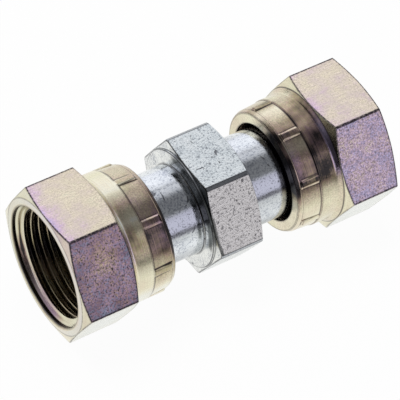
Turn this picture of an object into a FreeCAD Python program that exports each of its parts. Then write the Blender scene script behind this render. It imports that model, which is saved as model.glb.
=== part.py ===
import FreeCAD, Part
import math
import os

from FreeCAD import Vector

# Straight swivel union for flat-faced hydraulic joints, size 12.
# A bored body with a hexagon in its middle ends in two flat-faced heads. Each head sits inside a
# hexagon nut, whose collar is crimped behind it, so the nut turns freely and can't come off.
# Millimetres and degrees. +X runs along the bore and +Z is up; the origin is the middle of the body.
# The union lies on one flat of each nut. An outline is drawn in X and radius and turned about X.

# Bore and thread of the nut, 1 3/16 in with 12 threads to the inch
THREAD_MINOR_DIAMETER = 28.1
THREAD_DEPTH = 1.03
MOUTH_FLARE = 0.72
MOUTH_DEPTH = 0.88
GROOVE_EXTRA_DEPTH = 0.17
GROOVE_WIDTH = 2.4
GROOVE_FROM_SEAL = 0.6

# Hexagon of the nut: 36 across the flats, front and back cut by cones
NUT_WALL_AT_FLATS = 3.95
NUT_HEX_LENGTH = 15.0
NUT_CORNER_CUT = 0.05
NUT_FACE_INSET = 0.1
NUT_FRONT_CONE = 17.0
NUT_BACK_CONE = 22.5

# Neck and crimped collar behind the hexagon
NECK_STEP = 1.1
NECK_FLARE_LENGTH = 1.1
NECK_LENGTH = 5.6
CRIMP_LENGTH = 6.5
CRIMP_DEPTH_AT_STEP = 0.35
CRIMP_DEPTH_AT_RIM = 0.55
RIM_LENGTH = 1.1
RIM_DROP = 0.5
COLLAR_LIP_LENGTH = 3.3

# Ridges of metal that stood between the crimping dies
DIE_COUNT = 8
RIDGE_TOP_WIDTH = 1.7
RIDGE_FLANK_ANGLE = 40.0
RIDGE_ROOT_DEPTH = 1.2
RIGHT_CRIMP_TURN = 16.5
LEFT_CRIMP_TURN = 6.5

# Swivel head of the body and its play in the nut
SWIVEL_CLEARANCE = 0.35
SHOULDER_CLEARANCE = 0.30
SHOULDER_ANGLE = 45.0
SHOULDER_HEIGHT = 1.95
COLLAR_CAPTURE = 0.70
HEAD_LENGTH = 8.5

# Shank, bore and middle hexagon of the body
SHANK_LENGTH = 13.2
FLOW_BORE_DIAMETER = 15.5
BODY_WALL_AT_FLATS = 4.25
BODY_HEX_LENGTH = 13.6
BODY_CORNER_CUT = 0.275
BODY_FACE_INSET = 0.4
BODY_CONE = 20.0
BODY_HEX_TURN = 3.1

# Radii that follow
minor_radius = THREAD_MINOR_DIAMETER / 2
major_radius = minor_radius + THREAD_DEPTH
groove_radius = major_radius + GROOVE_EXTRA_DEPTH
mouth_radius = major_radius + MOUTH_FLARE
nut_half_flats = minor_radius + NUT_WALL_AT_FLATS
nut_face_radius = nut_half_flats - NUT_FACE_INSET
neck_radius = nut_face_radius - NECK_STEP
head_radius = minor_radius - SWIVEL_CLEARANCE
shank_radius = head_radius - SHOULDER_HEIGHT
collar_radius = head_radius - COLLAR_CAPTURE
bore_radius = FLOW_BORE_DIAMETER / 2
body_half_flats = shank_radius + BODY_WALL_AT_FLATS
body_face_radius = body_half_flats - BODY_FACE_INSET

# Places along +X that follow, for the right-hand half
shoulder_slope = math.tan(math.radians(SHOULDER_ANGLE))
shoulder_shift = SHOULDER_CLEARANCE / math.sin(math.radians(SHOULDER_ANGLE))
body_hex_x = BODY_HEX_LENGTH / 2
shoulder_x = body_hex_x + SHANK_LENGTH
shoulder_top_x = shoulder_x + SHOULDER_HEIGHT / shoulder_slope
seal_x = shoulder_x + HEAD_LENGTH
seat_x = shoulder_x - shoulder_shift + (collar_radius - shank_radius) / shoulder_slope
seat_top_x = shoulder_x - shoulder_shift + (minor_radius - shank_radius) / shoulder_slope
collar_x = seat_x - COLLAR_LIP_LENGTH
crimp_rim_x = collar_x + RIM_LENGTH
step_x = collar_x + CRIMP_LENGTH
nut_hex_x = step_x + NECK_LENGTH
nut_face_x = nut_hex_x + NUT_HEX_LENGTH
groove_x = seal_x + GROOVE_FROM_SEAL
groove_end_x = groove_x + GROOVE_WIDTH
mouth_end_x = nut_face_x - MOUTH_DEPTH
thread_x = mouth_end_x - (mouth_radius - minor_radius)

# How far a cutting solid runs past the face it opens
OVERRUN = 1.0

AXIS = Vector(1, 0, 0)
CENTRE = Vector(0, 0, 0)


def filled(points):
    """Flat face inside a closed run of corner points."""
    return Part.Face(Part.makePolygon(points + points[:1]))


def turned(outline):
    """Solid turned about the X axis from the (x, radius) corners of its half section."""
    corners = [Vector(x, radius, 0) for x, radius in outline]
    return filled(corners).revolve(CENTRE, AXIS, 360)


def hexagon(half_flats, corner_cut, back, front, turn):
    """Hexagon along X, its ends cut by cones. back and front are (x, face radius, cone angle)."""
    sharp_radius = half_flats / math.cos(math.radians(30))
    corner_radius = sharp_radius - corner_cut
    back_x, back_radius, back_angle = back
    front_x, front_radius, front_angle = front
    corners = []
    for number in range(6):
        angle = math.radians(60 * number + turn)
        corners.append(Vector(back_x, sharp_radius * math.cos(angle), sharp_radius * math.sin(angle)))
    prism = filled(corners).extrude(AXIS * (front_x - back_x))
    back_run = (corner_radius - back_radius) * math.tan(math.radians(back_angle))
    front_run = (corner_radius - front_radius) * math.tan(math.radians(front_angle))
    blank = turned([
        (back_x, 0), (back_x, back_radius), (back_x + back_run, corner_radius),
        (front_x - front_run, corner_radius), (front_x, front_radius), (front_x, 0),
    ])
    return prism.common(blank)


def swivel_end():
    """Shank, shoulder and flat-faced head on the right-hand side of the body, not yet bored."""
    return turned([
        (0, 0), (seal_x, 0), (seal_x, head_radius), (shoulder_top_x, head_radius),
        (shoulder_x, shank_radius), (0, shank_radius),
    ])


def flow_bore():
    """The passage through the body, from one sealing face to the other."""
    end_x = seal_x + OVERRUN
    return turned([(-end_x, 0), (-end_x, bore_radius), (end_x, bore_radius), (end_x, 0)])


def union_body():
    end = swivel_end()
    middle = hexagon(body_half_flats, BODY_CORNER_CUT, (-body_hex_x, body_face_radius, BODY_CONE),
                     (body_hex_x, body_face_radius, BODY_CONE), BODY_HEX_TURN)
    body = middle.fuse([end, half_turn(end)])
    return body.cut(flow_bore()).removeSplitter()


def half_turn(shape):
    """The same piece on the other end of the union."""
    other = shape.copy()
    other.rotate(CENTRE, Vector(0, 0, 1), 180)
    return other


def nut_collar():
    """Neck and crimped collar of the nut, solid, with the dies' marks not yet parted by ridges."""
    crimped_radius = neck_radius - CRIMP_DEPTH_AT_RIM
    return turned([
        (collar_x, 0), (collar_x, crimped_radius - RIM_DROP), (crimp_rim_x, crimped_radius),
        (step_x, neck_radius - CRIMP_DEPTH_AT_STEP), (step_x, neck_radius),
        (nut_hex_x - NECK_FLARE_LENGTH, neck_radius),
        (nut_hex_x, nut_face_radius), (nut_hex_x + OVERRUN, nut_face_radius),
        (nut_hex_x + OVERRUN, 0),
    ])


def crimp_ridges(turn):
    """The ridges left between the dies, level with the neck and falling away at the rim."""
    crest = RIDGE_TOP_WIDTH / 2
    foot = crest + RIDGE_ROOT_DEPTH * math.tan(math.radians(RIDGE_FLANK_ANGLE))
    foot_radius = neck_radius - RIDGE_ROOT_DEPTH
    top_radius = neck_radius + OVERRUN
    section = []
    for radius, half_width in ((foot_radius, foot), (neck_radius, crest), (top_radius, crest)):
        section.append(Vector(crimp_rim_x, radius, half_width))
        section.insert(0, Vector(crimp_rim_x, radius, -half_width))
    bar = filled(section).extrude(AXIS * (step_x - crimp_rim_x))
    limit = turned([
        (crimp_rim_x, 0), (crimp_rim_x, neck_radius - CRIMP_DEPTH_AT_RIM),
        (crimp_rim_x + CRIMP_DEPTH_AT_RIM, neck_radius), (step_x, neck_radius), (step_x, 0),
    ])
    bar = bar.common(limit)
    ridges = []
    for number in range(DIE_COUNT):
        ridge = bar.copy()
        ridge.rotate(CENTRE, AXIS, turn + number * 360 / DIE_COUNT)
        ridges.append(ridge)
    return ridges


def nut_bore():
    """All that is bored out of the nut: collar, seat, run-out groove, thread's bore, countersink and mouth."""
    collar_end_x = collar_x - OVERRUN
    face_x = nut_face_x + OVERRUN
    return turned([
        (collar_end_x, 0), (collar_end_x, collar_radius), (seat_x, collar_radius),
        (seat_top_x, minor_radius), (groove_x, minor_radius), (groove_x, groove_radius),
        (groove_end_x, groove_radius), (groove_end_x, minor_radius), (thread_x, minor_radius),
        (mouth_end_x, mouth_radius), (face_x, mouth_radius), (face_x, 0),
    ])


def swivel_nut(crimp_turn):
    """The right-hand nut, with its ridges turned by crimp_turn from +Y."""
    grip = hexagon(nut_half_flats, NUT_CORNER_CUT, (nut_hex_x, nut_face_radius, NUT_BACK_CONE),
                   (nut_face_x, nut_face_radius, NUT_FRONT_CONE), 0)
    nut = grip.fuse([nut_collar()] + crimp_ridges(crimp_turn))
    return nut.cut(nut_bore()).removeSplitter()


def check_solid(name, shape):
    """Report one piece, and stop where it isn't one valid solid."""
    size = shape.BoundBox
    print(name, "solids", len(shape.Solids), "volume %.1f" % shape.Volume,
          "X %.2f to %.2f" % (size.XMin, size.XMax), "Y %.2f to %.2f" % (size.YMin, size.YMax),
          "Z %.2f to %.2f" % (size.ZMin, size.ZMax))
    if not shape.isValid() or len(shape.Solids) != 1:
        raise ValueError(name + " isn't one valid solid")


pieces = {
    "union_body": union_body(),
    "swivel_nut_right": swivel_nut(RIGHT_CRIMP_TURN),
    "swivel_nut_left": half_turn(swivel_nut(LEFT_CRIMP_TURN)),
}

os.makedirs("parts", exist_ok=True)
for name, shape in pieces.items():
    check_solid(name, shape)
    shape.Solids[0].exportStep(os.path.join("parts", name + ".step"))
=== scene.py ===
import math

import bpy
from mathutils import Matrix, Vector


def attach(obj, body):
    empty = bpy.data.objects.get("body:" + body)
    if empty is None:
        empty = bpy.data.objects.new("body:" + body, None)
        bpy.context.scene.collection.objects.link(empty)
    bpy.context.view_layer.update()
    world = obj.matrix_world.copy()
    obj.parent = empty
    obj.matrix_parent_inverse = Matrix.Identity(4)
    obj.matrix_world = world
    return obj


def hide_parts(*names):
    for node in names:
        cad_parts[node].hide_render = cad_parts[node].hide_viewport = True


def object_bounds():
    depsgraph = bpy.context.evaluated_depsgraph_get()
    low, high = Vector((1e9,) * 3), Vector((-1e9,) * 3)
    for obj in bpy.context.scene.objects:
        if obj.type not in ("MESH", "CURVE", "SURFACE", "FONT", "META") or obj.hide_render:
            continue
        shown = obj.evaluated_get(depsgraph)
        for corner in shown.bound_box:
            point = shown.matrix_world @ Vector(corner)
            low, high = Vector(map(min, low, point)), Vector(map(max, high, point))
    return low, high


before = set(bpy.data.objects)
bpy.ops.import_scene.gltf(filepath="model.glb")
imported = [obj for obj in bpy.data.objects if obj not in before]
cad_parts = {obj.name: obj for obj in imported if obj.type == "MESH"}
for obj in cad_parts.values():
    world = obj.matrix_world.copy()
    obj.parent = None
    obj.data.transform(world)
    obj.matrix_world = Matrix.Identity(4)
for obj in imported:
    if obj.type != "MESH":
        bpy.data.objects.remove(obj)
cad_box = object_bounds()

# Straight swivel union in zinc-plated steel, lying on one flat of each nut.
# The three pieces are built here again from the sizes of the solids, with rounded edges, a turned
# neck and a real screw thread in each nut. Sizes are in millimetres until a mesh is made.
MM = 0.001

# Sizes of the body
BODY_HEX_X = 6.8
BODY_HALF_FLATS = 16.0
BODY_CORNER = 18.2
BODY_CORNER_ROUND = 0.015
BODY_FACE_RADIUS = 15.6
BODY_CONE = 20.0
BODY_TURN = 3.1
# The hexagon's left end has a round boss, and behind it a flatter cone
BODY_BOSS = 0.55
BODY_BOSS_CONE = 8.5
SHANK_LENGTH = 13.2
SHANK_RADIUS = 11.75
SHANK_ROOT = 0.25
HEAD_LENGTH = 8.5
HEAD_RADIUS = 13.7
BORE_RADIUS = 7.75
SHOULDER_X = BODY_HEX_X + SHANK_LENGTH
SHOULDER_TOP_X = SHOULDER_X + HEAD_RADIUS - SHANK_RADIUS
SEAL_X = SHOULDER_X + HEAD_LENGTH

# Sizes of the nut outside. x runs from the middle of the union towards the open end
NUT_FACE_X = cad_box[1][0] / MM
NUT_HALF_FLATS = cad_box[1][2] / MM
NUT_HEX_LENGTH = 15.0
NUT_CORNER_ROUND = 0.32
NUT_FACE_INSET = 0.1
NUT_FRONT_CONE = 17.0
NUT_BACK_CONE = 22.5
NECK_STEP = 1.1
NECK_FLARE = 1.1
NECK_LENGTH = 5.6
CRIMP_LENGTH = 6.5
RIM_DEPTH = 0.55
STEP_DEPTH = 0.22
RIM_LENGTH = 1.1
RIM_DROP = 0.5
RIDGE_COUNT = 8
RIDGE_CREST = 0.85
RIDGE_FLANK = 0.38
RIDGE_TOP = 0.5
RIDGE_BEVEL = 0.24
RIDGE_FOOT_RISE = 0.02
RIGHT_CRIMP_TURN = 16.5
LEFT_CRIMP_TURN = 6.5
NUT_BACK_X = NUT_FACE_X - NUT_HEX_LENGTH
STEP_X = NUT_BACK_X - NECK_LENGTH
COLLAR_X = STEP_X - CRIMP_LENGTH
RIM_X = COLLAR_X + RIM_LENGTH
NUT_FACE_RADIUS = NUT_HALF_FLATS - NUT_FACE_INSET
NECK_RADIUS = NUT_FACE_RADIUS - NECK_STEP
RIM_RADIUS = NECK_RADIUS - RIM_DEPTH

# Sizes of the nut inside, from the collar's hole to the mouth. The thread's flanks are 60 degrees apart
COLLAR_HOLE = 13.0
COLLAR_LIP_LENGTH = 3.3
THREAD_MINOR = 14.05
THREAD_ROOT = 15.32
THREAD_PITCH = 2.117
THREAD_CREST = 0.62
THREAD_FLANK_SLOPE = 1.732
THREAD_PHASE = 0.4
THREAD_EDGE_ROUND = 0.035
GROOVE_RADIUS = 15.25
GROOVE_FROM_SEAL = 0.6
GROOVE_WIDTH = 2.4
MOUTH_RADIUS = 15.8
MOUTH_DEPTH = 0.88
INNER_ROUND = 0.1
SEAT_X = COLLAR_X + COLLAR_LIP_LENGTH
SEAT_TOP_X = SEAT_X + THREAD_MINOR - COLLAR_HOLE
GROOVE_X = SEAL_X + GROOVE_FROM_SEAL
GROOVE_END_X = GROOVE_X + GROOVE_WIDTH
MOUTH_END_X = NUT_FACE_X - MOUTH_DEPTH
# Where the steep ledge inside the countersink ends, by angle, and its slope
LEDGE_X = {0: 42.6, 90: 42.4, 180: 42.42, 225: 42.52, 255: 42.7, 270: 42.82, 300: 42.85}
LEDGE_SLOPE = 2.75

# How finely the pieces are divided. An even angle keeps its distance from those set at corners
ROUND_STEPS = 3
ROWS_AT_CORNER = ROUND_STEPS + 3
ANGLE_STEP = 1.8
LEAST_ANGLE_STEP = 0.11
EVEN_ANGLE_DISTANCE = 0.45
NUT_CORNER_OFFSETS = (0.12, 0.3, 0.46, 0.8, 1.3, 2.0)
RIDGE_OFFSETS = (1.5, 1.9, 2.5, 2.8, 3.1, 3.5, 3.9, 4.2, 4.45, 4.75, 5.2)
BODY_CORNER_OFFSETS = (0.6, 1.1, 1.35, 1.54, 1.75, 2.0, 2.6, 3.3)
# Stretches of the thread, from the mouth inwards: where each ends, and how many rows it has
THREAD_FROM_X = MOUTH_END_X - 0.35
THREAD_STRETCHES = ((41.4, 36), (35.0, 56), (GROOVE_END_X, 22))
# Distance from a rounding to the row that supports it
NUT_SUPPORT = 0.28
BODY_SUPPORT = 0.14
# A rounding and its support take no more than these shares of the side beside them
LONGEST_ROUNDING = 0.4
LONGEST_SUPPORT = 0.45
# A rounding under this size is marked as an edge, in full from this turn in radians on
WIDEST_EDGE = 0.55
FULL_EDGE_TURN = 0.3
LEAST_TURN = 1e-4


# Helpers

def part_way(value, start, end):
    """How far value has come from start to end, between 0 and 1."""
    return max(0.0, min(1.0, (value - start) / (end - start)))


def blend(first, second, share):
    return first + (second - first) * share


def bell(off, width):
    """1 where off is 0, falling away on both sides over about the width."""
    return math.exp(-(off / width) ** 2)


def at_angle(table, angle):
    """Straight-line value at an angle in a table {angle: value}, its last point joined to its first."""
    points = list(table.items())
    angle %= 360
    (start, first), (end, last) = points[0], points[-1]
    if angle < start or angle >= end:
        return blend(last, first, (angle - end) % 360 / (start + 360 - end))
    for (low, first), (high, second) in zip(points, points[1:]):
        if angle < high:
            return blend(first, second, (angle - low) / (high - low))


def corner_angle(angle, turn=0.0):
    """Angle to the nearest corner of a hexagon that has a corner at turn."""
    return abs((angle - turn + 30) % 60 - 30)


def cone_run(low, high, cone):
    """How far along X a cone at an angle to the face runs between two radii."""
    return (high - low) * math.tan(math.radians(cone))


def flat_number(angle, turn=0.0):
    """Which flat of the hexagon an angle is on, from 0 to 5."""
    return int((angle - turn) % 360 // 60)


# Closed shells swept about the X axis

def soften(corners, support):
    """Round each corner (x, radius, rounding) of a closed outline.

    A corner may have its own support, the distance from the rounding to the next row.
    Gives rows (x, radius, edge, side). edge is 1 where the outline turns right, -1 where it turns
    left and 0 beside a rounding. Right is outwards on the nut and inwards on the body, whose outline
    runs the other way. side is the number of the corner that the row's side starts from.
    """
    rows = []
    count = len(corners)
    for number, (x, r, rounding, *own) in enumerate(corners):
        reach = own[0] if own else support
        here = Vector((x, r))
        back = here - Vector(corners[number - 1][:2])
        ahead = Vector(corners[(number + 1) % count][:2]) - here
        back_way = back.normalized()
        ahead_way = ahead.normalized()
        turn = -back.angle_signed(ahead)
        half = max(math.tan(abs(turn) / 2), LEAST_TURN)
        tangent = min(rounding * half, LONGEST_ROUNDING * min(back.length, ahead.length))
        radius = tangent / half
        side = Vector((-back_way.y, back_way.x)) * (1 if turn > 0 else -1)
        edge = max(-1.0, min(1.0, -turn / FULL_EDGE_TURN)) if rounding < WIDEST_EDGE else 0.0
        start = here - back_way * tangent
        end = here + ahead_way * tangent
        before = (number - 1) % count
        guard = start - back_way * min(reach, LONGEST_SUPPORT * back.length - tangent)
        rows.append((guard.x, guard.y, 0.0, before))
        for step in range(ROUND_STEPS + 1):
            sweep = abs(turn) * step / ROUND_STEPS
            point = start + back_way * (radius * math.sin(sweep)) + side * (radius * (1 - math.cos(sweep)))
            rows.append((point.x, point.y, edge, before if 2 * step < ROUND_STEPS else number))
        guard = end + ahead_way * min(reach, LONGEST_SUPPORT * ahead.length - tangent)
        rows.append((guard.x, guard.y, 0.0, number))
    return rows


def divided(rows, counts):
    """The rows with more of them put evenly along the sides that counts names."""
    found = []
    for number, row in enumerate(rows):
        found.append(row)
        if number % ROWS_AT_CORNER < ROWS_AT_CORNER - 1:
            continue
        ahead = rows[(number + 1) % len(rows)]
        more = counts.get(row[3], 0)
        for step in range(1, more + 1):
            share = step / (more + 1)
            found.append((blend(row[0], ahead[0], share), blend(row[1], ahead[1], share), 0.0, row[3]))
    return found


def spread_angles(fixed):
    """Sorted angles all round, at the fixed ones and in even steps between them."""
    fixed = sorted(value % 360 for value in fixed)
    kept = []
    for value in fixed:
        if not kept or value - kept[-1] >= LEAST_ANGLE_STEP:
            kept.append(value)
    for number in range(round(360 / ANGLE_STEP)):
        value = ANGLE_STEP * number
        if all(abs((value - other + 180) % 360 - 180) >= EVEN_ANGLE_DISTANCE for other in fixed):
            kept.append(value)
    kept.sort()
    if kept[0] + 360 - kept[-1] < LEAST_ANGLE_STEP:
        kept.pop()
    return kept


def both_sides(turn, count, offsets):
    """Angles at the offsets on both sides of each of count even directions."""
    middles = [turn + 360 * number / count for number in range(count)]
    return [middle + off for middle in middles for offset in offsets for off in (-offset, offset)]


def shell(name, angles, section, look, materials, half_turn=False):
    """Closed shell about X. section(angle) gives rows (x, radius, edge, side), as many for each angle.

    look(x, r, angle, side) gives the tint and depth of the film there, and materials the number of
    the material on a side, by angle. The faces are flipped where the outline runs anticlockwise.
    """
    loops = [section(angle) for angle in angles]
    rows = len(loops[0])
    count = len(angles)
    way = -1 if half_turn else 1
    verts, edges, tints, depths = [], [], [], []
    for angle, loop in zip(angles, loops):
        turn = math.radians(angle)
        for x, r, edge, side in loop:
            verts.append((way * x * MM, way * r * math.cos(turn) * MM, r * math.sin(turn) * MM))
            edges.append(edge)
            tint, depth = look(x, r, angle, side)
            tints.append(tint)
            depths.append(depth)
    faces, numbers = [], []
    for j in range(count):
        k = (j + 1) % count
        middle = angles[j] + ((angles[k] - angles[j]) % 360) / 2
        for i in range(rows):
            n = (i + 1) % rows
            faces.append((j * rows + i, k * rows + i, k * rows + n, j * rows + n))
            numbers.append(materials(loops[j][i][3], middle))
    mesh = bpy.data.meshes.new(name)
    mesh.from_pydata(verts, [], faces)
    mesh.polygons.foreach_set("material_index", numbers)
    mesh.polygons.foreach_set("use_smooth", [True] * len(faces))
    for key, values in (("edge", edges), ("tint", tints), ("depth", depths)):
        mesh.attributes.new(key, "FLOAT", "POINT").data.foreach_set("value", values)
    loop = loops[0]
    if sum(a[0] * b[1] - b[0] * a[1] for a, b in zip(loop, loop[1:] + loop[:1])) > 0:
        mesh.flip_normals()
    mesh.update()
    return linked(name, mesh)


def linked(name, data):
    """An object with the data, in the scene."""
    made = bpy.data.objects.new(name, data)
    bpy.context.scene.collection.objects.link(made)
    return made


# Form of the nuts

# Sides of the nut's outline, by the corner that they start from
SIDE_END, SIDE_RIM, SIDE_RISE, SIDE_DIE, SIDE_STEP, SIDE_NECK, SIDE_FLARE = range(7)
SIDE_BACK_CONE, SIDE_FLAT, SIDE_FRONT_CONE, SIDE_FACE, SIDE_MOUTH, SIDE_COUNTERSINK = range(7, 13)
LAST_THREADED_SIDE = 14
NUT_MORE_ROWS = {SIDE_FLAT: 8, SIDE_NECK: 8, SIDE_DIE: 4, SIDE_FACE: 5}
# Dark lines of painted shade: on the hexagon's long edges, by the angle from the corner, at a ridge's
# foot, by the place past its flank and the width, and in the countersink. Then how far the flats' back
# edge and the rim's edge reach
NUT_CORNER_LINE = (1.25, 0.55)
FOOT_LINE = (0.12, 0.13)
COUNTERSINK_LINE = -0.25
BACK_EDGE = 2.0
RIM_EDGE = 0.2


def nut_hex_radius(angle):
    """Radius of the nut's hexagon at an angle, with its long edges rounded."""
    tilt = math.radians(30)
    centre = (NUT_HALF_FLATS - NUT_CORNER_ROUND) / math.cos(tilt)
    off = math.radians(corner_angle(angle))
    limit = math.atan2(NUT_CORNER_ROUND * math.sin(tilt), centre + NUT_CORNER_ROUND * math.cos(tilt))
    if off < limit:
        return centre * math.cos(off) + math.sqrt(NUT_CORNER_ROUND ** 2 - (centre * math.sin(off)) ** 2)
    return NUT_HALF_FLATS / math.cos(tilt - off)


def past_crest(x, angle):
    """Distance along X from the middle of the nearest crest of the thread, below 0 on its inner side."""
    along = x / THREAD_PITCH - angle / 360 - THREAD_PHASE
    return ((along + 0.5) % 1 - 0.5) * THREAD_PITCH


def thread_radius(x, angle):
    """Radius of the right-hand thread, before the groove and the mouth open it."""
    down_flank = max(0.0, abs(past_crest(x, angle)) - THREAD_CREST / 2)
    return min(THREAD_ROOT, THREAD_MINOR + down_flank * THREAD_FLANK_SLOPE)


def bored_radius(x, angle):
    """Radius of the countersink with its ledge, or of the groove, and of the plain bore between them."""
    countersink = MOUTH_RADIUS - (MOUTH_END_X - x)
    ledge = THREAD_MINOR + (x - at_angle(LEDGE_X, angle)) * LEDGE_SLOPE
    groove = GROOVE_RADIUS if x <= GROOVE_END_X else THREAD_MINOR
    return max(THREAD_MINOR, groove, min(countersink, ledge))


def wall_radius(x, angle):
    """Radius of the wall: the thread or what opens it, whichever is wider, with a round edge between."""
    thread = thread_radius(x, angle)
    bore = bored_radius(x, angle)
    gap = abs(thread - bore)
    return max(thread, bore) + THREAD_EDGE_ROUND * math.log(1 + math.exp(-gap / THREAD_EDGE_ROUND))


def ridge_away(angle, turn):
    """Distance round the collar to the middle of the nearest ridge."""
    pitch = 360 / RIDGE_COUNT
    off = (angle - turn + pitch / 2) % pitch - pitch / 2
    return abs(NECK_RADIUS * math.sin(math.radians(off)))


def crimped_radius(mark, angle, turn):
    """Radius of the collar: the die's mark, or the ridge between two dies where it stands higher."""
    away = ridge_away(angle, turn)
    top = NECK_RADIUS - max(0.0, min(RIDGE_CREST, away) - RIDGE_TOP) * RIDGE_BEVEL
    return blend(top, mark, part_way(away, RIDGE_CREST, RIDGE_CREST + RIDGE_FLANK))


def nut_outline(angle, turn):
    """Corners (x, radius, rounding) of the nut's half section, from the collar's hole round."""
    hexagon = nut_hex_radius(angle)
    at_rim = crimped_radius(RIM_RADIUS + RIDGE_FOOT_RISE, angle, turn)
    at_step = crimped_radius(NECK_RADIUS - STEP_DEPTH, angle, turn)
    outside = [
        (COLLAR_X, COLLAR_HOLE, 0.15),
        (COLLAR_X, RIM_RADIUS - RIM_DROP, 0.3),
        (RIM_X, RIM_RADIUS, 0.5),
        (RIM_X + RIM_DEPTH, at_rim, 0.15),
        (STEP_X - STEP_DEPTH, at_step, 0.12),
        (STEP_X, NECK_RADIUS, 0.12),
        (NUT_BACK_X - NECK_FLARE, NECK_RADIUS, 1.2),
        (NUT_BACK_X, NUT_FACE_RADIUS, 0.1),
        (NUT_BACK_X + cone_run(NUT_FACE_RADIUS, hexagon, NUT_BACK_CONE), hexagon, 0.16),
        (NUT_FACE_X - cone_run(NUT_FACE_RADIUS, hexagon, NUT_FRONT_CONE), hexagon, 0.16),
        (NUT_FACE_X, NUT_FACE_RADIUS, 0.2),
        (NUT_FACE_X, MOUTH_RADIUS, 0.16),
    ]
    inside = [
        (MOUTH_END_X, MOUTH_RADIUS), (MOUTH_END_X - MOUTH_RADIUS + THREAD_MINOR, THREAD_MINOR),
        (GROOVE_END_X, THREAD_MINOR), (GROOVE_END_X, GROOVE_RADIUS), (GROOVE_X, GROOVE_RADIUS),
        (GROOVE_X, THREAD_MINOR), (SEAT_TOP_X, THREAD_MINOR), (SEAT_X, COLLAR_HOLE),
    ]
    return outside + [(x, r, INNER_ROUND) for x, r in inside]


def thread_rows(angle):
    """Rows of the thread from the mouth to the run-out groove."""
    rows = []
    start = THREAD_FROM_X
    for end, count in THREAD_STRETCHES:
        for number in range(count):
            x = blend(start, end, number / count)
            rows.append((x, wall_radius(x, angle), 0.0, SIDE_COUNTERSINK + 1))
        start = end
    rows.append((GROOVE_END_X, wall_radius(GROOVE_END_X, angle), 0.0, LAST_THREADED_SIDE))
    return rows


def nut_section(angle, turn, back_marks):
    """Rows of the nut's section. back_marks tell how dark the painted shade line on the back edge of the
    flats is, by angle.
    """
    corner_line = part_way(corner_angle(angle), *NUT_CORNER_LINE)
    foot_line = bell(ridge_away(angle, turn) - RIDGE_CREST - RIDGE_FLANK - FOOT_LINE[0], FOOT_LINE[1])
    before, after = [], []
    for x, r, edge, side in divided(soften(nut_outline(angle, turn), NUT_SUPPORT), NUT_MORE_ROWS):
        if side in (SIDE_BACK_CONE, SIDE_FLAT) and 0 < x - NUT_BACK_X < BACK_EDGE:
            edge *= at_angle(back_marks, angle)
        if side == SIDE_FLAT:
            edge = max(edge, corner_line)
        if side == SIDE_DIE:
            edge = min(edge, -foot_line)
        if side == SIDE_RIM and x > RIM_X - RIM_EDGE:
            edge = 0.0
        if side == SIDE_COUNTERSINK:
            edge = max(edge, COUNTERSINK_LINE)
        if side <= SIDE_MOUTH or side == SIDE_COUNTERSINK and x > THREAD_FROM_X:
            before.append((x, r, edge, side))
        elif side > LAST_THREADED_SIDE:
            after.append((x, r, edge, side))
    return before + thread_rows(angle) + after


# Film on the nuts

# A film has a tint from yellow 0 to lilac 1, and a depth from pale 0 to dark 1. Under 0 it is clear,
# and over 1 it is black. The depth also carries painted light: raised for painted shade and lowered
# for painted highlights, where the tables below say so. Angles run about X from +Y over +Z. The tables
# of the bore, the lip and the back edge go by the nut's own angle, which runs the other way on the left nut.
NUT_FILMS = {
    SIDE_END: (0.1, 0.15),
    SIDE_RIM: (0.16, 0.5),
    SIDE_RISE: (0.14, 0.46),
    SIDE_DIE: (0.12, 0.42),
    SIDE_STEP: (0.2, 0.45),
    SIDE_NECK: (0.1, 0.25),
    SIDE_FLARE: (0.14, 0.3),
    SIDE_BACK_CONE: (0.0, 0.15),
    SIDE_FRONT_CONE: (0.15, 0.0),
    SIDE_FACE: (0.3, -0.22),
}
# Painted shade inside the bore: the mouth's wall, the bore past the thread and the thread are black
MOUTH_FILM = (0.05, 1.3)
INSIDE_FILM = (0.3, 1.6)
THREAD_FILM = (0.1, 1.35)
# How far the films of the edges reach into a flat
FILM_EDGE = 2.2
MOUTH_FILM_EDGE = 3.0

# The countersink's film, and a brown ring in it. Their depths by angle are painted light and shade
COUNTERSINK_TINTS = {60: 0.02, 190: 0.05, 205: 0.35, 225: 0.55, 240: 0.62, 280: 0.7, 290: 0.3, 298: 0.05}
COUNTERSINK_DEPTHS = {
    150: 0.0, 190: -0.05, 208: 1.1, 222: 0.6, 232: -0.1, 245: -0.25, 255: 0.0, 264: 0.45, 272: 0.68,
    280: 0.65, 288: 0.35, 298: 0.0,
}
RING_X = {180: 43.0, 210: 43.19, 240: 43.42, 300: 43.25}
RING_WIDTH = 0.25
RING_DEPTHS = {
    90: 0.0, 120: 0.9, 150: 1.15, 180: 1.4, 200: 1.45, 212: 0.5, 225: 0.2, 235: 0.8, 255: 0.6, 268: 0.1,
    288: 0.35, 300: 0.0,
}
# The ledge's film, whose depth by angle is painted light and shade, its width, how softly it begins and how
# far it runs past the ledge
LEDGE_TINTS = {150: 0.03, 180: 0.1, 200: 0.28, 235: 0.35, 252: 0.6, 275: 0.6, 290: 0.05}
LEDGE_DEPTHS = {180: 0.0, 210: -0.1, 225: 0.1, 240: 0.35, 255: 0.6, 270: 0.5, 280: 0.35, 292: 0.05}
LEDGE_WIDTH = 0.3
LEDGE_BLEND = 0.12
LEDGE_OVERLAP = 0.05
# Painted shade: the first groove is black this far behind the ledge, and dark where it cuts the countersink
FIRST_GROOVE = 0.9
GROOVE_DEPTH = 0.95
GROOVE_BLEND = 0.12
# The thread's film, black by angle as painted shade, and the painted highlight on its crests, which fades
# and widens between two depths
THREAD_DEPTHS = {150: 1.15, 180: 1.2, 215: 1.4, 240: 0.98, 270: 0.96, 300: 1.0, 320: 1.1}
CREST_LIGHTS = {110: 1.1, 150: 1.1, 195: 0.9, 215: 0.15, 235: 0.45, 255: 0.18, 285: 0.15, 300: 0.45}
CREST_WIDTHS = {180: 0.22, 215: 0.24, 240: 0.6, 290: 0.55, 305: 0.26}
INWARD = (2.0, 10.0)
CREST_FADE = (0.75, 0.25)
CREST_WIDENING = 0.12
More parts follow.
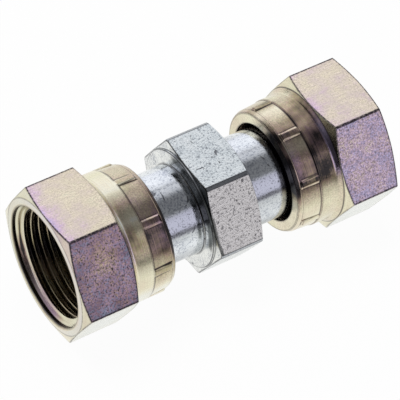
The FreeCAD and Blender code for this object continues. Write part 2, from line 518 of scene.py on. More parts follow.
# The lip round the mouth: how deep the painted shade on it is, and how far it reaches
LIP_TINT = 0.05
LIP_DEPTHS = {135: 0.1, 155: 0.55, 180: 0.75, 195: 1.0, 210: 1.35, 285: 1.35, 300: 1.1, 320: 0.5, 345: 0.1}
LIP_WIDTHS = {
    135: 0.4, 180: 0.75, 195: 1.1, 210: 1.4, 225: 1.75, 270: 1.75, 280: 1.5, 290: 1.3, 300: 0.9,
    320: 0.5,
}
# The tint of the open end
FACE_TINTS = {0: 0.08, 45: 0.2, 80: 0.5, 140: 0.52, 200: 0.4, 300: 0.1}
# How much more lilac the front cone is, and the share of it by which the film is deeper
CONE_TINTS = {70: -0.15, 100: 0.25, 120: 0.4, 135: 0.35, 150: 0.0, 200: 0.0}
CONE_DEEPENING = 0.3
# How much more lilac the collar is, and a band beside its rim with its place and width
COLLAR_TINTS = {88: 0.0, 100: 0.12, 115: 0.2, 152: 0.2, 163: 0.06, 175: 0.0}
RIM_TINTS = {112: 0.0, 124: 0.28, 146: 0.28, 158: 0.0}
RIM_BAND = (0.6, 1.1)
# How bright the painted highlight on the rim's edge is, and how much painted shade the rim before it gets
RIM_LIGHTS = {95: 0.0, 108: 0.6, 150: 0.6, 170: 0.3, 190: 0.0}
RIM_SHADE = 0.8
# How much paler, as painted light, and more lilac the flare behind the hexagon is than the neck
FLARE_LIGHTS = {92: 0.0, 106: 0.55, 114: 0.85, 128: 1.2, 150: 1.15, 158: 0.3, 166: 0.0}
FLARE_LILAC = 0.6
# The ridges: how dull their crests are, how bright the painted highlights on their flanks and how black
# the painted shadow at their feet
CREST_DULL = 0.12
FLANK_LIGHTS = {
    72: 0.15, 90: 1.0, 103: 1.0, 109: 0.3, 122: 0.4, 146: 0.45, 152: 0.9, 159: 0.9, 164: 0.05, 190: 0.05,
}
FLANK_LIGHT = (0.05, 0.24)
FOOT_DEPTHS = {
    50: 0.6, 67: 0.6, 70: 0.0, 84: 0.0, 86: 0.9, 92: 0.9, 96: 0.0, 164: 0.0, 166: 0.9, 172: 0.9,
    174: 0.3, 188: 0.3, 191: 0.9, 202: 0.9, 206: 0.3,
}
FOOT_WIDTH = 0.2

# What differs between the nuts. A flat, counted from the nut's own +Y, has its tint in the middle, at
# the mouth's edge and at the other edges, its depth in the middle and at the edges, and the lean of
# its tint. The depths are partly painted light: deep on the flat facing the front, clear on the flat
# below it. neck, collar and end tell how much deeper the film is there, by angle, partly as painted
# shade and on the end as painted shade. A patch on the neck has its place, angle, width and length,
# how much deeper and how much more lilac it is.
RIGHT_FILM = {
    "flats": (
        (0.4, 0.5, 0.75, 0.2, 0.3, 0.05), (0.4, 0.38, 0.6, 0.0, 0.08, 0.0),
        (0.76, 0.84, 0.96, 0.28, 0.4, 0.03), (0.3, 0.3, 0.4, -0.6, -0.4, 0.0),
        (0.35, 0.5, 0.8, 0.3, 0.45, -0.05), (0.3, 0.4, 0.7, 0.1, 0.3, 0.0),
    ),
    "neck": {
        60: 0.05, 75: 0.7, 90: 0.76, 104: 0.78, 114: 0.7, 131: 0.94, 145: 0.92, 154: 0.84, 162: 0.18,
        170: 0.0, 185: -0.02,
    },
    "collar": {
        52: 0.0, 57: 0.4, 66: 0.4, 75: -0.45, 90: 0.2, 97: 0.42, 105: 0.63, 112: 0.25, 120: -0.15,
        128: 0.4, 136: 0.66, 150: 0.7, 158: 0.45, 166: 0.1, 180: -0.3, 200: -0.45,
    },
    "end": {60: 0.05, 80: 0.4, 92: 1.0, 100: 1.3, 158: 1.3, 167: 0.7, 176: 0.1},
    "patches": [
        (27.0, 120, 1.9, 8, 0.3, 0.1), (26.4, 146, 2.4, 8, 0.34, 0.1), (24.6, 131, 0.8, 9, 0.2, 0.0),
        (26.5, 122, 6.0, 28, 0.0, 0.34),
    ],
    "rim_light": 1.0,
    "back_marks": {0: 1.0},
}
LEFT_FILM = {
    "flats": (
        (0.53, 0.8, 0.92, 0.86, 1.0, -0.06), (0.3, 0.88, 0.34, 0.0, 0.08, 0.0),
        (0.4, 0.6, 0.8, 0.25, 0.4, 0.05), (0.3, 0.4, 0.7, 0.1, 0.3, 0.0),
        (0.35, 0.5, 0.8, 0.35, 0.6, 0.05), (0.1, 0.15, 0.2, -0.5, -0.3, 0.0),
    ),
    "neck": {
        60: -0.15, 75: -0.28, 90: -0.38, 98: 0.06, 106: 0.55, 114: 0.12, 121: -0.42, 128: 0.4, 136: 0.84,
        143: 0.78, 150: 0.58, 158: 0.17, 165: -0.22, 185: -0.2, 197: -0.55,
    },
    "collar": {
        60: 0.0, 75: 0.1, 90: 0.18, 105: 0.2, 120: 0.28, 128: 0.6, 136: 1.05, 150: 0.68, 158: 0.5,
        166: 0.28, 180: 0.22, 190: -0.2, 198: -0.6, 225: -0.65,
    },
    "end": {60: 0.0, 100: 0.4, 150: 0.4, 170: 0.0},
    "patches": [
        (27.8, 124, 1.6, 16, 0.22, 0.1), (25.2, 132, 1.4, 13, -0.22, 0.0), (26.5, 106, 2.0, 6, 0.0, 0.15),
    ],
    "rim_light": 0.2,
    "back_marks": {56: 1.0, 63: 0.25, 117: 0.25, 124: 1.0},
}


def flat_film(x, angle, flats):
    """Tint and depth on the flats, which differ towards the mouth's edge and the other edges."""
    off = math.radians(30 - corner_angle(angle))
    across = NUT_HALF_FLATS * (math.tan(math.radians(30)) - math.tan(off))
    mouth_near = math.exp(-(NUT_FACE_X - x) / MOUTH_FILM_EDGE)
    side_near = 1 - (1 - math.exp(-(x - NUT_BACK_X) / FILM_EDGE)) * (1 - math.exp(-across / FILM_EDGE))
    middle, mouth, side, middle_depth, edge_depth, lean = flats[flat_number(angle)]
    tint = blend(middle, mouth, mouth_near) + (side - middle) * side_near * (1 - mouth_near)
    return tint + lean * (angle % 60 / 30 - 1), blend(middle_depth, edge_depth, max(mouth_near, side_near))


def countersink_film(x, angle):
    """Tint and depth on the countersink and its ledge, where the thread's start cuts them too, with painted
    light and shade by angle and painted shade in the cut.
    """
    ring = bell(x - at_angle(RING_X, angle), RING_WIDTH) * at_angle(RING_DEPTHS, angle)
    ledge_from = at_angle(LEDGE_X, angle) + LEDGE_WIDTH
    on_ledge = part_way(x, ledge_from, ledge_from - LEDGE_BLEND)
    depth = blend(at_angle(COUNTERSINK_DEPTHS, angle) + ring, at_angle(LEDGE_DEPTHS, angle), on_ledge)
    tint = blend(at_angle(COUNTERSINK_TINTS, angle), at_angle(LEDGE_TINTS, angle), on_ledge)
    cut = part_way(thread_radius(x, angle) - bored_radius(x, angle), 0.0, GROOVE_BLEND)
    return tint, blend(depth, GROOVE_DEPTH, cut)


def bore_film(x, angle, side):
    """Tint and depth inside: clean on the countersink, black as painted shade in the thread but for painted
    highlights on its crests.
    """
    if side <= SIDE_MOUTH:
        return MOUTH_FILM
    if side > LAST_THREADED_SIDE:
        return INSIDE_FILM
    ledge_end = at_angle(LEDGE_X, angle)
    if x > ledge_end - LEDGE_OVERLAP:
        return countersink_film(x, angle)
    if x > ledge_end - FIRST_GROOVE:
        return THREAD_FILM
    inward = part_way(MOUTH_END_X - x, *INWARD)
    width = at_angle(CREST_WIDTHS, angle) + CREST_WIDENING * inward
    light = bell(past_crest(x, angle) - THREAD_CREST / 2, width)
    light *= at_angle(CREST_LIGHTS, angle) * blend(*CREST_FADE, inward)
    return THREAD_FILM[0], at_angle(THREAD_DEPTHS, angle) - light


def collar_film(x, angle, away, side, film):
    """Change of tint and depth on the collar, at a distance from the middle of the nearest ridge, with
    painted highlights and shade on the rim and the ridges.
    """
    tint = at_angle(COLLAR_TINTS, angle)
    depth = at_angle(film["collar"], angle)
    if side == SIDE_RIM:
        light = at_angle(RIM_LIGHTS, angle)
        return tint, depth + (-film["rim_light"] if x > RIM_X - RIM_EDGE else RIM_SHADE) * light
    past_ridge = away - RIDGE_CREST
    lit = bell(past_ridge - FLANK_LIGHT[0], FLANK_LIGHT[1])
    depth += CREST_DULL * (past_ridge < 0) - at_angle(FLANK_LIGHTS, angle) * lit
    depth += at_angle(FOOT_DEPTHS, angle) * bell(past_ridge - RIDGE_FLANK, FOOT_WIDTH)
    return tint + at_angle(RIM_TINTS, angle) * bell(x - RIM_X - RIM_BAND[0], RIM_BAND[1]), depth


def neck_film(x, angle, side, film):
    """Change of tint and depth on the neck and its flare, with painted light on the flare."""
    tint = 0.0
    depth = at_angle(film["neck"], angle)
    if side == SIDE_FLARE:
        light = at_angle(FLARE_LIGHTS, angle)
        depth -= light
        tint += FLARE_LILAC * light
    for middle, turned, wide, long, deeper, lilac in film["patches"]:
        share = bell(x - middle, wide) * bell(angle - turned, long)
        depth += deeper * share
        tint += lilac * share
    return tint, depth


def face_film(r, angle, place, depth):
    """Tint and depth on the open end, with painted shade on the lip round the mouth."""
    tint = at_angle(FACE_TINTS, place)
    out = (r - MOUTH_RADIUS) / at_angle(LIP_WIDTHS, angle)
    shade_depth = at_angle(LIP_DEPTHS, angle) * (1 - out * out)
    if shade_depth <= depth:
        return tint, depth
    return blend(tint, LIP_TINT, min(1.0, shade_depth - depth)), shade_depth


def make_nut(name, turn, film, half_turn):
    """A nut whose ridges are turned by turn, with its own film."""
    angles = spread_angles(both_sides(0, 6, NUT_CORNER_OFFSETS)
                           + both_sides(turn, RIDGE_COUNT, RIDGE_OFFSETS))

    def section(angle):
        return nut_section(angle, turn, film["back_marks"])

    def look(x, r, angle, side):
        if side == SIDE_FLAT:
            return flat_film(x, angle, film["flats"])
        if side > SIDE_FACE:
            return bore_film(x, angle, side)
        tint, depth = NUT_FILMS[side]
        place = (180 - angle if half_turn else angle) % 360
        more_tint = more_depth = 0.0
        if side == SIDE_END:
            more_depth = at_angle(film["end"], place)
        elif side < SIDE_STEP:
            more_tint, more_depth = collar_film(x, place, ridge_away(angle, turn), side, film)
        elif side <= SIDE_FLARE:
            more_tint, more_depth = neck_film(x, place, side, film)
        elif side == SIDE_FACE:
            return face_film(r, angle, place, depth)
        elif side == SIDE_FRONT_CONE:
            more_tint = at_angle(CONE_TINTS, place)
            more_depth = CONE_DEEPENING * more_tint
        return tint + more_tint, depth + more_depth

    def materials(side, angle):
        if side == SIDE_FLAT:
            return 0
        return 1 if side <= SIDE_FACE else 2

    return shell(name, angles, section, look, materials, half_turn)


# The body

BODY_FLAT_SIDE, BODY_LEFT_CONE, BODY_BOSS_WALL, BODY_LEFT_RING = 6, 7, 8, 9
BODY_SHANKS = (3, 10)
HIDDEN_SIDES = (1, 2, 11, 12)
BODY_MORE_ROWS = {BODY_LEFT_RING: 8, BODY_SHANKS[0]: 5, BODY_SHANKS[1]: 5}
# Half the angle of the turned corners, and how far the painted shade line on their edges reaches
CORNER_HALF_ANGLE = 1.54
CORNER_LINE_ANGLE = 0.5
# On the body, tint is a mauve cast above 0 and a cream one below it. depth is painted shade from 0
# to 1, and from 1 to 2 it turns black. The turned corners and the sides hidden in the nuts have it too
BODY_FLAT_TINTS = (0.3, 0.0, 0.9, 0.2, 0.4, 0.1)
CORNER_FILM = (0.2, 0.45)
HIDDEN_FILM = (0.0, 1.0)
# How dark the painted shade line on the boss's edge is, by angle
BOSS_MARKS = {148: 0.4, 156: 0.1, 176: 0.1, 184: 0.25, 200: 0.4}
# Painted shade on the left end of the hexagon, by angle: beside the shank, in the middle and on its rim,
# then the cast there
INNER_END_SHADE = {
    62: 0.0, 68: 0.4, 84: 0.6, 92: 0.05, 116: 0.0, 124: 0.35, 130: 0.75, 136: 1.3, 144: 1.3, 150: 1.0,
    156: 0.05, 190: 0.0,
}
MIDDLE_END_SHADE = {
    68: 0.0, 76: 0.92, 84: 1.0, 92: 0.94, 100: 0.7, 108: 0.66, 114: 0.2, 118: 0.1, 124: 0.66, 130: 1.0,
    136: 1.7, 144: 1.7, 150: 1.1, 156: 0.93, 166: 0.92, 180: 0.9, 184: 0.7, 187: 0.1, 196: 0.0,
}
RIM_END_SHADE = {
    66: 0.0, 76: 0.25, 84: 0.9, 92: 0.8, 100: 0.4, 108: 0.45, 116: 0.15, 124: 0.7, 132: 0.92, 144: 1.2,
    150: 0.95, 158: 0.85, 166: 0.8, 172: 0.6, 177: 0.1, 190: 0.0,
}
RING_CASTS = {70: -0.7, 90: -0.3, 110: 0.0, 145: 0.0, 160: -1.0, 200: -0.9}
# Radii between which the middle shade passes into the rim's, and into the one beside the shank
MIDDLE_TO_RIM = (14.9, 15.4)
MIDDLE_TO_INNER = (13.8, 13.1)
# The painted shade along the left edge of the mid flat: where it ends, how dark it is, half the width
# over which it fades, and how far the rows that draw it are from the edge's last one
EDGE_LINE_ENDS = {123: -5.75, 130: -6.0, 140: -5.9, 150: -5.65, 170: -5.6, 176: -5.4, 183: -5.0}
EDGE_LINE_DEPTHS = {122: 0.0, 123: 0.8, 140: 0.62, 146: 0.55, 150: 0.85, 172: 0.8, 183: 0.85, 184: 0.0}
EDGE_LINE_FADE = 0.125
EDGE_LINE_STEPS = (1.0, 0.75, 0.5, 0.25)
# The shanks are tinted on one side, partly as painted shade, have painted shade underneath, and more
# painted shade over the last stretch before the collar
SHANK_TINTS = {129: 0.0, 135: 0.9, 157: 0.9, 161: 0.0}
RIGHT_SHANK_SHADE = {160: 0.0, 170: 0.16, 190: 0.12, 200: 0.5, 210: 0.75, 235: 0.75, 290: 0.0}
LEFT_SHANK_SHADE = {180: 0.0, 190: 0.24, 200: 0.34, 235: 0.34, 290: 0.0}
COLLAR_SHADE = 1.6
COLLAR_SHADES = {90: 0.3, 130: 0.6, 165: 0.85, 200: 0.8, 260: 0.3}


def body_hex_radius(angle):
    """Radius of the body's hexagon at an angle, its corners turned down to a round."""
    flat = BODY_HALF_FLATS / math.cos(math.radians(30 - corner_angle(angle, BODY_TURN)))
    least = min(flat, BODY_CORNER)
    parts = [math.exp((least - radius) / BODY_CORNER_ROUND) for radius in (flat, BODY_CORNER)]
    return least - BODY_CORNER_ROUND * math.log(sum(parts))


def body_outline(angle):
    """Corners (x, radius, rounding) of the body's half section, right to left outside."""
    hexagon = body_hex_radius(angle)
    run = cone_run(BODY_FACE_RADIUS, hexagon, BODY_CONE)
    boss_run = cone_run(BODY_FACE_RADIUS, hexagon, BODY_BOSS_CONE)
    right = [
        (SEAL_X, BORE_RADIUS, 0.3),
        (SEAL_X, HEAD_RADIUS, 0.3),
        (SHOULDER_TOP_X, HEAD_RADIUS, 0.2),
        (SHOULDER_X, SHANK_RADIUS, 0.2),
        (BODY_HEX_X, SHANK_RADIUS, SHANK_ROOT, 0.22),
        (BODY_HEX_X, BODY_FACE_RADIUS, 0.12),
    ]
    left = [(-x, *rest) for x, *rest in reversed(right)]
    middle = [
        (BODY_HEX_X - run, hexagon, 0.24, 0.4),
        (BODY_BOSS + boss_run - BODY_HEX_X, hexagon, 0.3, 0.3),
        (BODY_BOSS - BODY_HEX_X, BODY_FACE_RADIUS, 0.08),
    ]
    return right + middle + left


def body_section(angle):
    """Rows of the body's section at an angle."""
    from_line = abs(corner_angle(angle, BODY_TURN) - CORNER_HALF_ANGLE)
    corner_line = part_way(from_line, CORNER_LINE_ANGLE, 0.0)
    found = []
    for x, r, edge, side in divided(soften(body_outline(angle), BODY_SUPPORT), BODY_MORE_ROWS):
        if side == BODY_FLAT_SIDE:
            if edge == 0 and x < 0:
                found += [(x + step, r, corner_line, side) for step in EDGE_LINE_STEPS]
            edge = max(edge, corner_line)
        if side in (BODY_BOSS_WALL, BODY_LEFT_RING) and edge > 0:
            edge *= at_angle(BOSS_MARKS, angle)
        found.append((x, r, edge, side))
    return found


def body_look(x, r, angle, side):
    """Cast and painted shade of the body at a place."""
    if side in (BODY_LEFT_CONE, BODY_BOSS_WALL, BODY_LEFT_RING):
        end_shade = blend(at_angle(MIDDLE_END_SHADE, angle), at_angle(RIM_END_SHADE, angle), part_way(r, *MIDDLE_TO_RIM))
        end_shade = blend(end_shade, at_angle(INNER_END_SHADE, angle), part_way(r, *MIDDLE_TO_INNER))
        return at_angle(RING_CASTS, angle), end_shade
    if side in BODY_SHANKS:
        near = max(0.0, 1 - (COLLAR_X - abs(x)) / COLLAR_SHADE)
        shade = min(1.0, near * at_angle(COLLAR_SHADES, angle))
        shade_depth = at_angle(RIGHT_SHANK_SHADE if x > 0 else LEFT_SHANK_SHADE, angle)
        return max(at_angle(SHANK_TINTS, angle), shade), max(shade, shade_depth)
    if side in HIDDEN_SIDES:
        return HIDDEN_FILM
    if side != BODY_FLAT_SIDE:
        return 0.0, 0.0
    if corner_angle(angle, BODY_TURN) < CORNER_HALF_ANGLE:
        return CORNER_FILM
    line_end = at_angle(EDGE_LINE_ENDS, angle)
    line = part_way(x, line_end + EDGE_LINE_FADE, line_end - EDGE_LINE_FADE)
    return BODY_FLAT_TINTS[flat_number(angle, BODY_TURN)], line * at_angle(EDGE_LINE_DEPTHS, angle)


def make_body(name):
    angles = spread_angles(both_sides(BODY_TURN, 6, BODY_CORNER_OFFSETS))

    def materials(side, angle):
        on_flat = side == BODY_FLAT_SIDE and corner_angle(angle, BODY_TURN) > CORNER_HALF_ANGLE
        return 0 if on_flat else 1

    return shell(name, angles, body_section, body_look, materials)


# Materials

class Graph:
    """Short calls that build one node tree."""

    def __init__(self, tree):
        self.tree = tree
        tree.nodes.clear()

    def node(self, kind, settings=None, **inputs):
        """A node with its settings. Inputs go by name, or by number as i0, i1 and so on."""
        made = self.tree.nodes.new(kind)
        for key, value in (settings or {}).items():
            setattr(made, key, value)
        for key, value in inputs.items():
            socket = made.inputs[int(key[1:])] if key[1:].isdigit() else made.inputs[key.replace("_", " ")]
            if isinstance(value, bpy.types.NodeSocket):
                self.tree.links.new(value, socket)
            else:
                socket.default_value = value
        return made

    def math(self, operation, *values, clamp=False):
        """One arithmetic step on numbers or sockets."""
        inputs = {"i%d" % number: value for number, value in enumerate(values)}
        return self.node("ShaderNodeMath", {"operation": operation, "use_clamp": clamp}, **inputs).outputs[0]

    def total(self, *values):
        """The sum of any number of sockets."""
        found = values[0]
        for value in values[1:]:
            found = self.math("ADD", found, value)
        return found

    def times(self, first, second, clamp=False):
        return self.math("MULTIPLY", first, second, clamp=clamp)

    def parts(self, vector):
        """Sockets of X, Y and Z."""
        return self.node("ShaderNodeSeparateXYZ", Vector=vector).outputs

    def shaders(self, factor, first, second):
        """One shader passing into another."""
        return self.node("ShaderNodeMixShader", Fac=factor, i1=first, i2=second).outputs[0]

    def ramp(self, value, stops):
        """Colour ramp with stops (position, colour)."""
        made = self.node("ShaderNodeValToRGB", Fac=value)
        elements = made.color_ramp.elements
        while len(elements) < len(stops):
            elements.new(0.5)
        for element, (position, colour) in zip(elements, stops):
            element.position = position
        for element, (position, colour) in zip(elements, stops):
            element.color = (*colour, 1.0)
        return made.outputs["Color"]

    def between(self, value, low, high, to_low=0.0, to_high=1.0):
        """Map a value from one range to another, held at the ends."""
        return self.node("ShaderNodeMapRange", {"clamp": True}, Value=value, i1=low, i2=high,
                         i3=to_low, i4=to_high).outputs[0]

    def noise(self, vector, scale, detail=2.0, roughness=0.5, distortion=0.0):
        made = self.node("ShaderNodeTexNoise", Vector=vector, Scale=scale, Detail=detail,
                         Roughness=roughness, Distortion=distortion)
        return made.outputs["Fac"]

    def stretched(self, vector, scales):
        """The coordinates scaled along each axis."""
        return self.node("ShaderNodeMapping", Vector=vector, Scale=scales).outputs[0]

    def mix(self, factor, first, second, blend_type="MIX"):
        first, second = [(*value, 1.0) if isinstance(value, tuple) else value for value in (first, second)]
        settings = {"data_type": "RGBA", "blend_type": blend_type}
        return self.node("ShaderNodeMix", settings, Factor=factor, i6=first, i7=second).outputs[2]

    def grey(self, level):
        return self.node("ShaderNodeCombineColor", i0=level, i1=level, i2=level).outputs[0]

    def swing(self, noise, size):
        """A noise turned into a swing of about size to each side of zero."""
        return self.times(self.math("SUBTRACT", noise, 0.5), size * 4)

    def attributes(self, *names):
        """Sockets of the values that are written on the mesh."""
        return [self.node("ShaderNodeAttribute", {"attribute_name": name}).outputs["Fac"] for name in names]


# How the coordinates are scaled for tool lines: along the bar on flats, round the axis elsewhere
ALONG_BAR = (150.0, 2600.0, 2600.0)
ROUND_AXIS = (5200.0, 60.0, 60.0)

# Colours of the yellow film where it is pale and where it is deep, from yellow to lilac
PALE_FILM = [
    (0.0, (0.87, 0.84, 0.64)),
    (0.3, (0.84, 0.75, 0.59)),
    (0.55, (0.82, 0.71, 0.64)),
    (0.8, (0.83, 0.63, 0.78)),
    (1.0, (0.7, 0.58, 0.84)),
]
DEEP_FILM = [
    (0.0, (0.4, 0.35, 0.2)),
    (0.25, (0.46, 0.34, 0.26)),
    (0.5, (0.43, 0.285, 0.31)),
    (0.75, (0.36, 0.245, 0.36)),
    (1.0, (0.28, 0.3, 0.41)),
]
# Film over depth 1 turns black, as painted shade; under 0 it turns clear, also used for painted highlights
BLACK_SHADE = (0.045, 0.04, 0.042)
CLEAR = (0.9, 0.93, 0.91)
# Colour of the nuts' dark lines of painted shade, and how dark the whole ones are
NUT_LINE = (0.05, 0.04, 0.05)
NUT_WHOLE_LINE = 0.9

# Colours of the bright zinc, dark, middle and light, and of its casts, painted shade, pits and nicks
FLAT_TONES = ((0.4, 0.44, 0.48), (0.8, 0.86, 0.88), (0.92, 0.96, 0.97))
TURNED_TONES = ((0.48, 0.52, 0.6), (0.78, 0.82, 0.87), (0.88, 0.92, 0.96))
TONE_STOPS = (0.36, 0.5, 0.62)
MAUVE = (0.97, 0.93, 0.94)
LAVENDER = (0.62, 0.63, 0.76)
CREAM_CAST = (1.0, 0.965, 0.89)
PIT = (0.1, 0.095, 0.11)
PAINTED_SHADE = (0.064, 0.072, 0.066)
PAINTED_BLACK_SHADE = (0.005, 0.005, 0.005)
NICK = (0.1, 0.1, 0.12)
NICK_SHARE = 0.8
# Colour of the body's dark lines of painted shade, and how dark the broken and whole ones are
BODY_LINE = (0.06, 0.06, 0.07)
BODY_BROKEN_LINE = 0.95
BODY_WHOLE_LINE = 0.85
# How many more pits there are on tinted places
TINT_PITS = 0.38


def lined(g, colour, edge, speckle, broken, whole, tone):
    """Painted shade: the colour darkened in broken lines along edges where edge is above 0, and in whole
    ones along creases where it is below.
    """
    gaps = g.between(speckle, 0.35, 0.55, to_low=0.55, to_high=1.0)
    above = g.times(g.times(g.between(edge, 0.0, 0.65), broken), gaps)
    below = g.times(g.math("MAXIMUM", g.times(edge, -1.0), 0.0), whole)
    return g.mix(g.math("MAXIMUM", above, below), colour, tone)


def node_material(name):
    """A material and the graph of its nodes."""
    material = bpy.data.materials.new(name)
    material.use_nodes = True
    return material, Graph(material.node_tree)


def metal(g, colour, rough, height, grain):
    """The metal's shader on its output. grain is the bump's depth in metres."""
    bump = g.node("ShaderNodeBump", Strength=1.0, Distance=grain, Height=height)
    shader = g.node("ShaderNodeBsdfPrincipled", Base_Color=colour, Metallic=1.0, Roughness=rough,
                    Normal=bump.outputs[0])
    g.node("ShaderNodeOutputMaterial", Surface=shader.outputs[0])


def yellow_zinc(name, line_scale, grain, roughness, clouds, speckles, lines, broken):
    """Zinc with a yellow film.

    clouds, speckles and lines are how far the film's tint and depth swing over millimetres, from
    grain to grain and from tool line to tool line. The third of speckles is the swing of its
    brightness, and broken is how dark the broken lines on the edges are.
    """
    material, g = node_material(name)
    place = g.node("ShaderNodeTexCoord").outputs["Object"]
    tint, depth, edge = g.attributes("tint", "depth", "edge")
    cloud = g.noise(place, scale=190.0, detail=3.0, roughness=0.6)
    other_cloud = g.noise(g.stretched(place, (1.0, 1.2, 0.9)), scale=240.0)
    speckle = g.noise(place, scale=1900.0, roughness=0.6)
    other_speckle = g.noise(g.stretched(place, (1.1, 0.9, 1.0)), scale=2400.0, detail=1.0)
    tool = g.noise(g.stretched(place, line_scale), scale=1.0, roughness=0.6)
    strength = g.between(depth, 0.0, 0.5, to_low=0.15, to_high=1.0)
    grains = [g.times(g.swing(noise, size), strength)
              for noise, size in zip((speckle, other_speckle, other_speckle), speckles)]
    tint = g.total(tint, g.swing(cloud, clouds[0]), g.swing(tool, lines[0]), grains[0])
    cloudy = g.times(g.swing(other_cloud, clouds[1]), strength)
    deep = g.total(depth, cloudy, g.swing(tool, lines[1]), grains[1])
    deepness = g.math("MAXIMUM", deep, 0.0, clamp=True)
    colour = g.mix(deepness, g.ramp(tint, PALE_FILM), g.ramp(tint, DEEP_FILM))
    colour = g.mix(g.between(deep, 0.95, 1.35), colour, BLACK_SHADE)
    colour = g.mix(g.between(deep, 0.0, -0.5), colour, CLEAR)
    colour = g.mix(1.0, colour, g.grey(g.math("ADD", 1.0, grains[2])), "MULTIPLY")
    colour = lined(g, colour, edge, speckle, broken, NUT_WHOLE_LINE, NUT_LINE)
    rough = g.between(cloud, 0.35, 0.65, *roughness)
    height = g.math("ADD", speckle, g.times(tool, 0.6))
    metal(g, colour, rough, height, grain)
    return material


def silver_zinc(name, line_scale, grain, roughness, pits, tones, mauve):
    """Bright zinc, slightly blue, mottled, pitted and nicked, darkened by painted shade. tones are dark,
    middle and light.
    """
    material, g = node_material(name)
    place = g.node("ShaderNodeTexCoord").outputs["Object"]
    edge, depth, tint = g.attributes("edge", "depth", "tint")
    cloud = g.noise(place, scale=260.0, detail=3.0, roughness=0.6)
    speckle = g.noise(place, scale=2100.0, roughness=0.7)
    tool = g.noise(g.stretched(place, line_scale), scale=1.0, roughness=0.6)
    nicks = g.noise(g.stretched(place, (1.0, 0.5, 0.7)), scale=500.0, roughness=0.6, distortion=0.8)
    nick = g.between(nicks, 0.66, 0.69)
    tone = g.math("ADD", g.times(cloud, 0.4), g.times(speckle, 0.6))
    colour = g.ramp(tone, list(zip(TONE_STOPS, tones)))
    colour = g.mix(tint, colour, mauve)
    colour = g.mix(g.between(tint, 0.0, -1.0), colour, CREAM_CAST, "MULTIPLY")
    pitted = g.math("ADD", pits, g.times(tint, TINT_PITS, clamp=True))
    pit = g.times(g.between(speckle, 0.445, 0.395), pitted)
    colour = g.mix(pit, colour, PIT)
    colour = g.mix(depth, colour, PAINTED_SHADE)
    colour = g.mix(g.between(depth, 1.0, 2.0), colour, PAINTED_BLACK_SHADE)
    colour = g.mix(g.times(nick, NICK_SHARE), colour, NICK)
    colour = lined(g, colour, edge, speckle, BODY_BROKEN_LINE, BODY_WHOLE_LINE, BODY_LINE)
    rough = g.between(tone, 0.4, 0.6, *roughness)
    height = g.math("SUBTRACT", g.math("ADD", speckle, g.times(tool, 0.5)), nick)
    metal(g, colour, rough, height, grain)
    return material


nut_materials = [
    yellow_zinc("nut_flats", ALONG_BAR, grain=0.00005, roughness=(0.22, 0.32), clouds=(0.26, 0.12),
                speckles=(0.4, 0.2, 0.9), lines=(0.06, 0.03), broken=1.0),
    yellow_zinc("nut_turned", ROUND_AXIS, grain=0.00002, roughness=(0.15, 0.26), clouds=(0.16, 0.2),
                speckles=(0.15, 0.1, 0.3), lines=(0.08, 0.13), broken=0.5),
    yellow_zinc("nut_thread", ROUND_AXIS, grain=0.00001, roughness=(0.2, 0.3), clouds=(0.1, 0.05),
                speckles=(0.05, 0.05, 0.05), lines=(0.06, 0.03), broken=0.5),
]
body_materials = [
    silver_zinc("body_flats", ALONG_BAR, grain=0.00006, roughness=(0.2, 0.32), pits=0.35,
                tones=FLAT_TONES, mauve=MAUVE),
    silver_zinc("body_turned", ROUND_AXIS, grain=0.000015, roughness=(0.08, 0.15), pits=0.2,
                tones=TURNED_TONES, mauve=LAVENDER),
]

right_nut = make_nut("nut_right", RIGHT_CRIMP_TURN, RIGHT_FILM, False)
left_nut = make_nut("nut_left", LEFT_CRIMP_TURN, LEFT_FILM, True)
body = make_body("body")

for piece, node, body_name, slot, materials in (
    (right_nut, "swivel_nut_right", "right_nut", "yellow_zinc", nut_materials),
    (left_nut, "swivel_nut_left", "left_nut", "yellow_zinc", nut_materials),
    (body, "union_body", "body", "silver_zinc", body_materials),
):
    for material in materials:
        piece.data.materials.append(material)
    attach(piece, body_name)
    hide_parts(node)


# Floor, world, light and camera, in metres

FLOOR_Z = -NUT_HALF_FLATS * MM
FLOOR_HALF = 12.0
PAPER = (0.86, 0.86, 0.86, 1.0)
WHITE = (1.0, 1.0, 1.0, 1.0)
# How white the floor is to the camera, from lit paper 0 to plain white 1
SEEN_WHITE = 0.96
# The floor as the metal mirrors it: its colour and its brightness from front to back, which fades out
# on the far left and is a little lower beyond the left nut's open end
MIRRORED = (1.0, 0.995, 0.97, 1.0)
FLOOR_STOPS = [
    (-0.2, 0.26), (-0.14, 0.27), (-0.11, 0.6), (-0.068, 0.7), (-0.053, 0.77), (-0.043, 0.87),
    (-0.033, 0.93), (0.0, 0.95),
]
FLOOR_END_X = (-0.2, -0.13)
LEFT_FLOOR_X = (-0.0475, -0.0445)
LEFT_FLOOR = 0.87


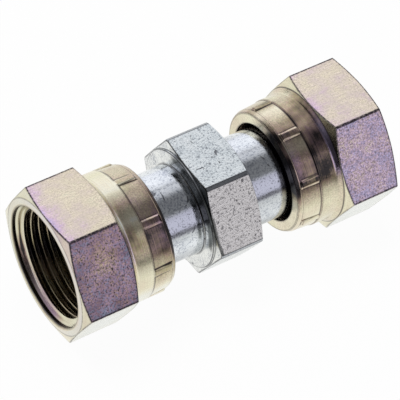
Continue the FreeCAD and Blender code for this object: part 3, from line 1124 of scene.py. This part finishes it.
def make_floor():
    corners = [(x * FLOOR_HALF, y * FLOOR_HALF, FLOOR_Z) for x, y in ((-1, -1), (1, -1), (1, 1), (-1, 1))]
    mesh = bpy.data.meshes.new("floor")
    mesh.from_pydata(corners, [], [(0, 1, 2, 3)])
    floor = linked("floor", mesh)
    material, g = node_material("floor")
    path = g.node("ShaderNodeLightPath")
    place = g.node("ShaderNodeNewGeometry").outputs["Position"]
    x, y = g.parts(place)[:2]
    start = FLOOR_STOPS[0][0]
    span = FLOOR_STOPS[-1][0] - start
    stops = [((y - start) / span, (level, level, level)) for y, level in FLOOR_STOPS]
    near = g.ramp(g.between(y, start, start + span), stops)
    near = g.times(near, g.between(x, *FLOOR_END_X))
    near = g.times(near, g.between(x, *LEFT_FLOOR_X, LEFT_FLOOR, 1.0))
    paper = g.node("ShaderNodeBsdfDiffuse", Color=PAPER).outputs[0]
    white = g.node("ShaderNodeEmission", Color=WHITE, Strength=1.0).outputs[0]
    mirrored = g.node("ShaderNodeEmission", Color=MIRRORED, Strength=near).outputs[0]
    lit = g.shaders(path.outputs["Is Camera Ray"], paper, g.shaders(SEEN_WHITE, paper, white))
    both = g.shaders(path.outputs["Is Glossy Ray"], lit, mirrored)
    g.node("ShaderNodeOutputMaterial", Surface=both)
    mesh.materials.append(material)


# Brightness of the surroundings by the angle about X, from straight behind up and over to the front
SKY = [
    (-180, 0.35), (-90, 0.8), (-8, 0.84), (6, 0.96), (12, 1.0), (44, 1.0), (50, 0.92), (57, 0.86),
    (61, 0.61), (65, 0.58), (69, 0.72), (80, 0.6), (85, 0.46), (91, 0.22), (100, 0.17), (116, 0.18),
    (127, 0.18), (134, 0.22), (140, 0.62), (152, 0.76), (172, 0.76), (179, 0.64), (180, 0.5),
]
SKY_BLUE = 1.03
# The surroundings are darker beyond both ends, on the left more so in front, and darkest high on the
# left. The pairs are parts of the direction's length between which each passes in
RIGHT_END = (0.45, 0.45, 0.45)
RIGHT_END_X = (0.6, 0.9)
LEFT_END = (0.03, 0.36)
LEFT_END_X = (-0.5, -0.8)
LEFT_END_Y = (-0.15, 0.3)
DARK_CORNER = (0.08, 0.08, 0.08)
DARK_CORNER_X = (-0.15, -0.3)
DARK_CORNER_Z = (0.46, 0.6)


def make_world():
    """Soft light from behind and above, with a dark room over the camera."""
    world = bpy.data.worlds.new("studio")
    bpy.context.scene.world = world
    world.use_nodes = True
    g = Graph(world.node_tree)
    path = g.node("ShaderNodeLightPath")
    way = g.node("ShaderNodeTexCoord").outputs["Generated"]
    x, y, z = g.parts(way)
    share = g.between(g.math("ARCTAN2", z, y), -math.pi, math.pi)
    sky = g.ramp(share, [((angle + 180) / 360, (level, level, level * SKY_BLUE)) for angle, level in SKY])
    sky = g.mix(g.between(x, *RIGHT_END_X), sky, RIGHT_END)
    far_left = g.grey(g.between(y, *LEFT_END_Y, *LEFT_END))
    sky = g.mix(g.between(x, *LEFT_END_X), sky, far_left)
    left = g.between(x, *DARK_CORNER_X)
    high = g.between(z, *DARK_CORNER_Z)
    around = g.mix(g.times(left, high), sky, DARK_CORNER)
    seen = g.mix(path.outputs["Is Camera Ray"], around, WHITE[:3])
    background = g.node("ShaderNodeBackground", Color=seen, Strength=1.0)
    g.node("ShaderNodeOutputWorld", Surface=background.outputs[0])


LAMP_PLACE = Vector((-0.1, 0.2, 0.8))
LAMP_SIZE = 0.6
LAMP_POWER = 4.2


def make_lamp():
    """A soft round lamp overhead, looking at the middle of the fitting and not seen in the metal."""
    lamp = bpy.data.lights.new("overhead", "AREA")
    lamp.shape = "DISK"
    lamp.size = LAMP_SIZE
    lamp.energy = LAMP_POWER
    holder = linked("overhead", lamp)
    holder.location = LAMP_PLACE
    holder.visible_glossy = False
    holder.rotation_euler = (-LAMP_PLACE).to_track_quat("-Z", "Y").to_euler()


# The camera at the photograph's place, solved from the corners of the three hexagons
CAMERA_RIGHT = (0.84844, -0.52837, 0.03135)
CAMERA_UP = (0.36936, 0.63344, 0.67994)
CAMERA_BACK = (-0.37912, -0.56531, 0.7326)
CAMERA_PLACE = Vector((-253.19, -376.27, 487.48)) * MM
SENSOR_WIDTH = 36.0
LENS = 244.56
CLIP = (0.01, 100.0)


def make_camera():
    camera = bpy.data.cameras.new("camera")
    camera.sensor_width = SENSOR_WIDTH
    camera.lens = LENS
    camera.clip_start, camera.clip_end = CLIP
    holder = linked("camera", camera)
    axes = Matrix((CAMERA_RIGHT, CAMERA_UP, CAMERA_BACK)).transposed().to_4x4()
    holder.matrix_world = Matrix.Translation(CAMERA_PLACE) @ axes
    bpy.context.scene.camera = holder


make_floor()
make_world()
make_lamp()
make_camera()
bpy.context.scene.view_settings.view_transform = "Standard"
